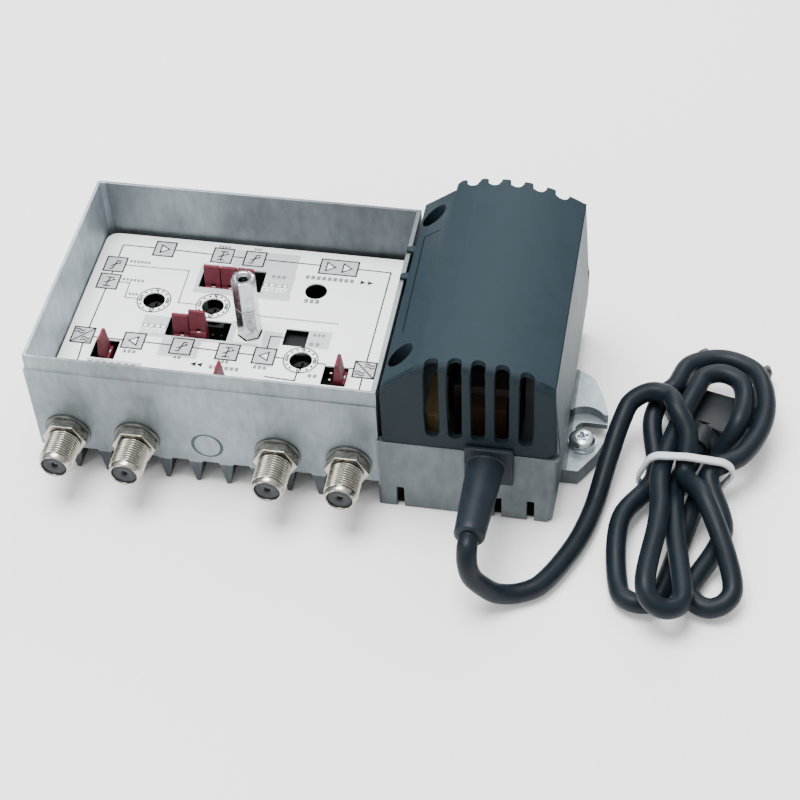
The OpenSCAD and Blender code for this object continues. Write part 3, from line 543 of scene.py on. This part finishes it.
# A small opening with a bright contact on the foot of each jumper, given as (x, y, lift, turned). The opening
# is a flat patch of painted shade, and the contact a light patch that is partly its painted glint

JUMPERS = [(38.6, 53.8, 0, 0), (43.68, 53.8, 0, 0), (48.76, 53.8, 0, 0), (34.5, 33.2, 0, 0),
           (39.58, 33.2, 2, 0), (14.5, 22.5, 0, 1), (50, 14.5, 0, 1), (82.4, 22, 0, 1)]
JUMPER_Z = 20.0
FOOT_H, FOOT_FRONT, FOOT_BACK = 5.0, -1.9, -1.2
HOLE_X0, HOLE_X1 = -0.5, 0.9
HOLE_INSET, HOLE_UP = 0.2, 1.1
CONTACT_X0, CONTACT_X1 = HOLE_X0 + 0.25, HOLE_X1 - 0.15
CONTACT_Y0, CONTACT_Y1 = FOOT_FRONT + 0.25, FOOT_FRONT + 0.6
SKIN = 0.03


def lying(x0, y0, x1, y1, z):
    return [(x0, y0, z), (x1, y0, z), (x1, y1, z), (x0, y1, z)]


def standing(x0, z0, x1, z1, y):
    return [(x0, y, z0), (x1, y, z0), (x1, y, z1), (x0, y, z1)]


def on_jumper(name, k, corners, mat):
    """Flat patches on a jumper, from corner points in its own frame."""
    x0, y0, lift, turned = JUMPERS[k - 1]
    verts = [(x0 - y, y0 + x, JUMPER_Z + lift + z) if turned else (x0 + x, y0 + y, JUMPER_Z + lift + z)
             for x, y, z in corners]
    faces = [tuple(range(i, i + 4)) for i in range(0, len(verts), 4)]
    piece(name, meshed(name, verts, faces), "jumper_red", "jumper_%d" % k, mat)


for k in range(1, 9):
    hole_shade = lying(HOLE_X0, FOOT_FRONT + HOLE_INSET, HOLE_X1, FOOT_BACK, FOOT_H + SKIN)
    hole_shade += standing(HOLE_X0, FOOT_H, HOLE_X1, FOOT_H + HOLE_UP, FOOT_BACK - SKIN)
    on_jumper("jumper_%d_hole" % k, k, hole_shade, HOLE_SHADE)
    contact_glint = lying(CONTACT_X0, CONTACT_Y0, CONTACT_X1, CONTACT_Y1, FOOT_H + 2 * SKIN)
    on_jumper("jumper_%d_contact" % k, k, contact_glint, CONTACT_GLINT)


# Fine grooves on the cover's left flank, drawn as thin dark strips of painted shade

FLANK_X, FLANK_Z, FLANK_RISE = 98.6, 45.6, 0.949
FLANK_OUT = Vector((-FLANK_RISE, 0.0, 1.0)).normalized() * 0.02
SEAMS = [[(106.2, 55.7), (101.1, 57.3)], [(101.1, 57.3), (101.6, 19.1)], [(99.4, 0.9), (107.7, 0.3)],
         [(99.4, 2.0), (107.7, 1.4)]]
SEAM_W = 0.34

verts, faces = [], []
for (x0, y0), (x1, y1) in SEAMS:
    length = math.hypot(x1 - x0, y1 - y0)
    side = Vector((y0 - y1, x1 - x0)) / length * SEAM_W / 2
    for x, y in ((x0 + side.x, y0 + side.y), (x0 - side.x, y0 - side.y), (x1 - side.x, y1 - side.y),
                 (x1 + side.x, y1 + side.y)):
        verts.append(Vector((x, y, FLANK_Z + FLANK_RISE * (x - FLANK_X))) + FLANK_OUT)
    faces.append(tuple(range(len(verts) - 4, len(verts))))
piece("cover_seams_shade", meshed("cover_seams_shade", verts, faces), "cover_plastic", mat=SEAM_SHADE)


# Ports with a cut thread along -Y. Each surface is a row of rings as (y, radius)

PORT_Z = 15.5
PORT_X = [9, 29, 69, 89]
THREAD_R, THREAD_PITCH, THREAD_DEPTH = 4.75, 0.79, 0.40
THREAD_START, THREAD_RINGS, RINGS_PER_TURN = -12.1, 62, 6
GROOVE_R = THREAD_R - 0.62 * THREAD_DEPTH
GROOVE_FROM, GROOVE_TO = -12, -4
PORT_MOUTH = [(-6.0, 1.0), (-6.0, 3.6), (-13.5, 3.55), (-13.8, 3.7), (-13.85, 3.85), (-13.75, 4.0),
              (-12.3, 4.45)]
PORT_BACK = [(-3.9, 4.3), (1.4, 4.3), (1.45, 5.3), (2.3, 5.3), (2.3, 1.0), (-6.0, 1.0)]
INSERT = [(-6.1, 3.5), (-13.15, 3.5), (-13.3, 3.3), (-13.2, 1.2), (-12.9, 0.8), (-12.0, 0.7), (-12.0, 0.05)]
SIDES = 56
PORT_ANGLE = 50.0


def spun(name, x, rows):
    """A surface of rings round a port axis, with a radius that may be a function of the turn."""
    verts = []
    for y, r in rows:
        for i in range(SIDES):
            turn = 2 * math.pi * i / SIDES
            px, pz = on_circle(x, PORT_Z, r(turn) if callable(r) else r, turn)
            verts.append((px, y, pz))
    faces = []
    for j in range(0, (len(rows) - 1) * SIDES, SIDES):
        for i in range(SIDES):
            after = (i + 1) % SIDES
            faces.append((j + i, j + after, j + SIDES + after, j + SIDES + i))
    return meshed(name, verts, faces, PORT_ANGLE)


def thread(y):
    """A ring of the thread."""
    def radius(turn):
        phase = (y / THREAD_PITCH + turn / (2 * math.pi)) % 1.0
        return THREAD_R - THREAD_DEPTH * abs(2 * phase - 1)
    return y, radius


cut = [thread(THREAD_START + i * THREAD_PITCH / RINGS_PER_TURN) for i in range(THREAD_RINGS)]
for k, x in enumerate(PORT_X, 1):
    port = piece("port_%d_piece" % k, spun("port_%d_piece" % k, x, PORT_MOUTH + cut + PORT_BACK), "nickel",
                 stands_for=("f_connector_%d" % k,))
    # Faces deep in the thread take the darker look: painted shade in its groove
    port.data.materials.append(GROOVE_SHADE)
    for face in port.data.polygons:
        off = face.center - at(x, 0, PORT_Z)
        threaded = at(0, GROOVE_FROM, 0).y < face.center.y < at(0, GROOVE_TO, 0).y
        if threaded and math.hypot(off.x, off.z) < GROOVE_R * MM:
            face.material_index = 1
    insert = piece("insert_%d_piece" % k, spun("insert_%d_piece" % k, x, INSERT), "dielectric")
    if k == 1:
        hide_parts("connector_inserts")


# Shade in the groove round the blank port place, widest at its left and right

BLANK_X, BLANK_Y = 49.0, -0.03
BLANK_R = 4.6
SHADE_MIN, SHADE_MAX = 0.5, 0.95

verts = []
for i in range(SIDES):
    turn = 2 * math.pi * i / SIDES
    width = SHADE_MIN + (SHADE_MAX - SHADE_MIN) * math.cos(turn) ** 2
    for r in (BLANK_R, BLANK_R - width):
        x, z = on_circle(BLANK_X, PORT_Z, r, turn)
        verts.append((x, BLANK_Y, z))
piece("blank_shade", meshed("blank_shade", verts, band_faces(SIDES)), "cast_metal", mat=RING)


# Label print: flat ink a hair above the plate

LABEL_Z = 25.2
LINE, FRAME_LINE, ARROW_LINE, WAVE_LINE, DASH_LINE, MAP_LINE = 0.4, 0.46, 0.42, 0.36, 0.3, 0.2
DASH, DASH_GAP = 0.75, 0.4


class Ink:
    """One layer of print, with all its areas in one mesh."""

    def __init__(self, lift):
        self.z = LABEL_Z + lift
        self.verts = []
        self.faces = []

    def area(self, points):
        first = len(self.verts)
        self.verts += [(x, y, self.z) for x, y in points]
        self.faces.append(tuple(range(first, first + len(points))))

    def box(self, x0, y0, x1, y1):
        self.area([(x0, y0), (x1, y0), (x1, y1), (x0, y1)])

    def stroke(self, points, width=LINE):
        for (x0, y0), (x1, y1) in zip(points, points[1:]):
            length = math.hypot(x1 - x0, y1 - y0)
            ux, uy = (x1 - x0) / length * width / 2, (y1 - y0) / length * width / 2
            self.area([(x0 - ux + uy, y0 - uy - ux), (x1 + ux + uy, y1 + uy - ux),
                       (x1 + ux - uy, y1 + uy + ux), (x0 - ux - uy, y0 - uy + ux)])

    def dashes(self, points):
        for (x0, y0), (x1, y1) in zip(points, points[1:]):
            dx, dy = x1 - x0, y1 - y0
            length = math.hypot(dx, dy)
            for i in range(int(length / (DASH + DASH_GAP)) + 1):
                a = i * (DASH + DASH_GAP) / length
                b = min(1.0, a + DASH / length)
                self.stroke([(x0 + dx * a, y0 + dy * a), (x0 + dx * b, y0 + dy * b)], DASH_LINE)

    def outline(self, x0, y0, x1, y1, width=FRAME_LINE):
        self.stroke([(x0, y0), (x1, y0), (x1, y1), (x0, y1), (x0, y0)], width)

    def disc(self, x, y, r, count):
        self.area([on_circle(x, y, r, 2 * math.pi * i / count) for i in range(count)])

    def ring(self, x, y, r, width, count):
        for i in range(count):
            a, b = 2 * math.pi * i / count, 2 * math.pi * (i + 1) / count
            self.area([on_circle(x, y, r - width, a), on_circle(x, y, r, a), on_circle(x, y, r, b),
                       on_circle(x, y, r - width, b)])

    def make(self, name, mat):
        piece(name, meshed(name, self.verts, self.faces), "label_face", mat=mat)


# Layers from the plate up
patch, fill, pale, grey, ink = Ink(0.02), Ink(0.035), Ink(0.05), Ink(0.06), Ink(0.065)

# Small upright figures from seven strokes, in parts of a figure's width and half height
DIGITS = {"0": "abcdef", "1": "bc", "2": "abged", "4": "fgbc", "8": "abcdefg"}
STROKES = {"a": ((0, 2), (1, 2)), "b": ((1, 2), (1, 1)), "c": ((1, 1), (1, 0)), "d": ((0, 0), (1, 0)),
           "e": ((0, 0), (0, 1)), "f": ((0, 1), (0, 2)), "g": ((0, 1), (1, 1))}
DIGIT_H = 1.3
DIGIT_W, DIGIT_GAP, DIGIT_LINE = DIGIT_H * 0.42, DIGIT_H * 0.35, DIGIT_H * 0.24


def digits(text, x, y):
    """Plain figures, centred on a point."""
    half = DIGIT_H / 2
    step = DIGIT_W + DIGIT_GAP
    left = x - (step * len(text) - DIGIT_GAP) / 2
    for i, figure in enumerate(text):
        for key in DIGITS[figure]:
            ink.stroke([(left + i * step + px * DIGIT_W, y - half + py * half) for px, py in STROKES[key]],
                       DIGIT_LINE)


# Signs in the square boxes: strokes and the tip of an arrow, round the middle of the box
HALF = 3.03
SIGNS = {
    "level": ([[(-1.2, -1.9), (0.7, -1.9)], [(-0.4, -1.9), (0.1, 1.7)], [(-0.8, 1.7), (1.1, 1.7)],
               [(-1.2, -0.6), (1.6, 0.9)]], [(1.9, 1.1), (1.0, 1.1), (1.4, 0.3)]),
    "slope": ([[(-1.4, -1.9), (-0.5, -1.9), (-0.2, -0.4), (0.3, 1.6), (1.3, 1.6)],
               [(-1.1, -0.7), (1.4, 0.8)]], [(1.7, 1.0), (0.8, 1.0), (1.2, 0.2)]),
}
WAVE_AT, WAVE_GAP, WAVE_LENGTH, WAVE_HIGH, WAVE_STEPS = (1.2, 1.5), 0.5, 1.3, 0.35, 4
ARROW_BACK = 1.1


def framed(x0, y0, x1, y1):
    fill.box(x0, y0, x1, y1)
    ink.outline(x0, y0, x1, y1)


def triangle(x, y, tip, half, way=1):
    """A pale triangle with a dark outline that points right, or left if its way is -1."""
    back = x - way * ARROW_BACK
    points = [(x + way * tip, y), (back, y + way * half), (back, y - way * half)]
    pale.area(points)
    ink.stroke(points + points[:1], ARROW_LINE)


def wave(x, y):
    ink.stroke([(x + WAVE_LENGTH * (i / WAVE_STEPS - 1), y + WAVE_HIGH * math.sin(math.pi * i / WAVE_STEPS))
                for i in range(2 * WAVE_STEPS + 1)], WAVE_LINE)


def icon(kind, x, y):
    """A square box with an amplifier, a level or slope control, or a split of two bands."""
    framed(x - HALF, y - HALF, x + HALF, y + HALF)
    if kind in ("right", "left"):
        triangle(x, y, 1.4, 1.6, 1 if kind == "right" else -1)
    elif kind in SIGNS:
        strokes, tip = SIGNS[kind]
        for points in strokes:
            ink.stroke([(x + px, y + py) for px, py in points])
        ink.area([(x + px, y + py) for px, py in tip])
    else:
        way = 1 if kind == "split_up" else -1
        wave_x, wave_y = WAVE_AT
        ink.stroke([(x - HALF, y - way * HALF), (x + HALF, y + way * HALF)])
        for gap in (-WAVE_GAP, WAVE_GAP):
            wave(x - wave_x, y + way * wave_y + gap)
            wave(x + wave_x, y - way * wave_y + gap)


ICONS = [("right", 20.5, 65.9), ("slope", 7.6, 57.5), ("level", 7.6, 50.2), ("level", 38.4, 65.5),
         ("slope", 48.2, 65.4), ("split_up", 6.5, 27.7), ("left", 21.6, 27.5), ("slope", 35.8, 27.2),
         ("level", 49.3, 26.9), ("left", 59.9, 26.8), ("split_down", 88.9, 25.5)]
WIDE_BOX = (68.1, 62.1, 79.3, 68.2)
WIDE_ARROWS = [(71.1, 65.1), (76.0, 65.1)]

for kind, x, y in ICONS:
    icon(kind, x, y)
framed(*WIDE_BOX)
for x, y in WIDE_ARROWS:
    triangle(x, y, 1.5, 1.8)

# Lines of the diagram, whole and dashed
WIRES = [[(17.4, 66.0), (7.6, 66.0), (7.6, 60.6)], [(23.6, 65.9), (35.3, 65.6)], [(41.5, 65.5), (45.1, 65.4)],
         [(51.3, 65.5), (68.0, 65.4)], [(79.4, 65.2), (89.2, 65.1), (88.9, 28.6)], [(7.6, 54.4), (7.6, 53.3)],
         [(7.6, 47.1), (7.4, 30.8)], [(7.4, 24.6), (8.0, 16.0)], [(9.6, 27.4), (18.5, 27.4)],
         [(24.7, 27.4), (32.7, 27.3)], [(38.9, 27.2), (46.2, 27.0)], [(52.4, 26.9), (56.8, 26.8)],
         [(63.0, 26.8), (65.3, 26.7)], [(75.4, 26.2), (77.5, 26.1)], [(84.7, 25.6), (85.8, 25.6)],
         [(88.8, 22.4), (88.8, 14.5)], [(60.0, 29.9), (60.0, 34.7), (63.6, 34.8)],
         [(61.8, 19.1), (70.3, 18.7), (70.4, 21.6)]]
DASHED = [[(10.8, 57.6), (30.1, 57.8), (30.3, 44.3), (35.4, 44.3)],
          [(10.8, 50.3), (14.0, 50.4), (14.2, 44.3), (17.8, 44.3)]]

for points in WIRES:
    ink.stroke(points)
for points in DASHED:
    ink.dashes(points)

# Dials round the trimmers: a ring, dots and four figures
DIALS = [(23, 44.3), (40.6, 44.3), (70.4, 26.7)]
DIAL_R, DIAL_LINE, DIAL_SIDES = 5.05, 0.34, 56
DOTS, DOTS_LEFT_OUT = 15, (0, 4, 7, 8, 11)
DOT_AT, DOT_R, DOT_SIDES = 4.1, 0.34, 8
DIAL_FIGURES = [("4", 0, 4.0), ("0", -4.0, 0), ("8", 4.0, 0), ("12", 0, -4.0)]

for x, y in DIALS:
    ink.ring(x, y, DIAL_R, DIAL_LINE, DIAL_SIDES)
    for i in range(DOTS):
        if i not in DOTS_LEFT_OUT:
            turn = math.radians(360 / DOTS * i + 90)
            ink.disc(*on_circle(x, y, DOT_AT, turn), DOT_R, DOT_SIDES)
    for text, dx, dy in DIAL_FIGURES:
        digits(text, x + dx, y + dy)

# Grey patches round the windows, small jumper maps on them, and solid arrows as (x, y, way)
PATCHES = [(33.2, 49.2, 62, 51.6), (33.2, 51.6, 34.3, 60.5), (53, 51.6, 61.8, 60.5), (33.4, 60.5, 41.9, 61.6),
           (41.9, 60.5, 61.5, 68.6), (22.1, 29.9, 57.5, 31), (22.1, 31, 29.6, 38.2), (47.8, 31, 49.6, 39.2),
           (58, 23, 63.2, 36.6), (70.7, 31.8, 77.2, 38.6), (29.5, 22.9, 41, 29.8), (10.4, 16.4, 26.4, 19.2)]
MAPS = [(53.1, 52.6), (57.1, 52.6), (22.5, 31.5), (26.1, 31.6)]
MAP_W, MAP_H = 3.3, 3.5
MAP_BOXES = [(0.1, 1.9, 1.5, 3.3), (1.8, 1.9, 3.2, 3.3)]
MAP_BARS = [(0.4, 1.3), (2.0, 2.9)]
MAP_BAR_Y, MAP_BAR_LINE = 0.8, 0.25
ARROWS = [(81.1, 59.9, 1), (83.3, 59.9, 1), (41.5, 21.0, -1), (43.3, 21.0, -1)]
SOLID_LENGTH, SOLID_HALF = 1.6, 0.85

for area in PATCHES:
    patch.box(*area)
for x, y in MAPS:
    pale.box(x, y, x + MAP_W, y + MAP_H)
    for x0, y0, x1, y1 in MAP_BOXES:
        ink.outline(x + x0, y + y0, x + x1, y + y1, MAP_LINE)
    for x0, x1 in MAP_BARS:
        ink.stroke([(x + x0, y + MAP_BAR_Y), (x + x1, y + MAP_BAR_Y)], MAP_BAR_LINE)
for x, y, way in ARROWS:
    ink.area([(x, y - SOLID_HALF * way), (x + SOLID_LENGTH * way, y), (x, y + SOLID_HALF * way)])

# Plain marks where the photo has words, as (x from, x to, y, height), and a row of small squares
MARKS = [(11.6, 18.1, 59.4, 1.0), (11.4, 18.3, 51.6, 1.0), (14.9, 18.0, 45.9, 1.0), (36.4, 40.2, 69.3, 0.9),
         (47.2, 49.7, 69.5, 0.9), (54.9, 59.5, 58.8, 1.2), (64.8, 79.6, 60.0, 1.5), (66.4, 71.3, 50.2, 1.6),
         (71.5, 75.0, 33.2, 1.3), (71.9, 75.7, 36.9, 1.1), (19.7, 23.8, 23.2, 1.2), (57.7, 61.9, 22.3, 1.2),
         (34.5, 37.0, 22.9, 1.2), (47.2, 50.7, 23.0, 1.1), (45.4, 54.4, 20.6, 1.3), (73.6, 76.6, 21.2, 1.2),
         (54.9, 78.3, 42.2, 0.6)]
MARK_PITCH, MARK_FILL = 1.1, 0.68
SQUARES, SQUARE_AT, SQUARE_PITCH, SQUARE = 7, (10.9, 17.2), 2.1, 1.2

for x0, x1, y, high in MARKS:
    count = max(2, round((x1 - x0) / (high * MARK_PITCH)))
    pitch = (x1 - x0) / count
    for i in range(count):
        grey.box(x0 + i * pitch, y - high / 2, x0 + (i + MARK_FILL) * pitch, y + high / 2)
for i in range(SQUARES):
    x, y = SQUARE_AT[0] + SQUARE_PITCH * i, SQUARE_AT[1]
    grey.box(x, y, x + SQUARE, y + SQUARE)

# Collar that closes the label's hole round the turned post
COLLAR_R, COLLAR_GAP, COLLAR_LIFT = 3.95, 0.28, 0.01
COLLAR_SIDES = 48

verts = []
for i in range(COLLAR_SIDES):
    turn = 2 * math.pi * i / COLLAR_SIDES
    off = (turn - POST_TURN) % (math.pi / 3) - math.pi / 6
    for r in ((POST_AF / 2 + COLLAR_GAP) / math.cos(off), COLLAR_R):
        verts.append((*on_circle(*POST_AT, r, turn), LABEL_Z + COLLAR_LIFT))
piece("label_collar", meshed("label_collar", verts, band_faces(COLLAR_SIDES)), "label_face")

patch.make("label_patches", PATCH)
grey.make("label_marks", GREY)
fill.make("label_icon_fill", ICON)
pale.make("label_icon_pale", PALE)
ink.make("label_ink", INK)


# Floor, with a little glow except under the part, and painted shade under the hollow tray

FLOOR_HALF, FLOOR_DROP = 4, -0.0001
FLOOR_GLOW = 0.12
UNDERSIDE = ((0, -0.5, -5), (146.5, 74, 5), 2.0, 0.0)
UNDER_TRAY_SHADE = ((98.5, 1.1, -5), (144, 72, 5), 0.3, 0.03)

floor_mesh = bpy.data.meshes.new("floor")
floor_mesh.from_pydata(lying(-FLOOR_HALF, -FLOOR_HALF, FLOOR_HALF, FLOOR_HALF, 0), [], [(0, 1, 2, 3)])
floor_mat = shader("floor", (0.97, 0.97, 0.97), 0.8, vary=0.01, scale=3, zones=[UNDER_TRAY_SHADE],
                   Emission_Color=(1, 1, 1, 1))
tree = floor_mat.node_tree
glow = ranged(tree, inside_box(tree, added(tree, "TexCoord"), *UNDERSIDE), (0.0, 1.0), (0.0, FLOOR_GLOW))
tree.links.new(glow, tree.nodes["Principled BSDF"].inputs["Emission Strength"])
floor_mesh.materials.append(floor_mat)
floor = linked("floor", floor_mesh)
floor.location.z = FLOOR_DROP


# Soft lamps as (name, place, aim, size, power), and a sky that is brighter above

LAMPS = [("key", (-0.15, 0.05, 1.05), (0.02, 0.0, 0.02), 0.7, 22.0),
         ("fill", (-0.30, -0.30, 0.16), (-0.05, -0.02, 0.02), 0.2, 0.5),
         ("back", (0.1, 0.9, 0.7), (0.0, 0.0, 0.03), 0.6, 6.0)]
SKY = [(0.45, (0.13, 0.135, 0.145, 1.0)), (0.85, (1.0, 1.0, 1.0, 1.0))]

for name, place, aim, size, power in LAMPS:
    lamp_data = bpy.data.lights.new(name, "AREA")
    lamp_data.shape = "DISK"
    lamp_data.size = size
    lamp_data.energy = power
    lamp = linked(name, lamp_data)
    lamp.location = place
    lamp.rotation_euler = (Vector(aim) - Vector(place)).to_track_quat("-Z", "Y").to_euler()

world = bpy.data.worlds.new("studio")
world.use_nodes = True
tree = world.node_tree
direction = added(tree, "TexCoord")
parts = added(tree, "SeparateXYZ")
shade = added(tree, "ValToRGB")
for stop, (position, color) in zip(shade.color_ramp.elements, SKY):
    stop.position = position
    stop.color = color
tree.links.new(direction.outputs["Generated"], parts.inputs["Vector"])
tree.links.new(ranged(tree, parts.outputs["Z"], (-1.0, 1.0), (0.0, 1.0)), shade.inputs["Fac"])
tree.links.new(shade.outputs["Color"], tree.nodes["Background"].inputs["Color"])
tree.nodes["Background"].inputs["Strength"].default_value = 1.0
bpy.context.scene.world = world
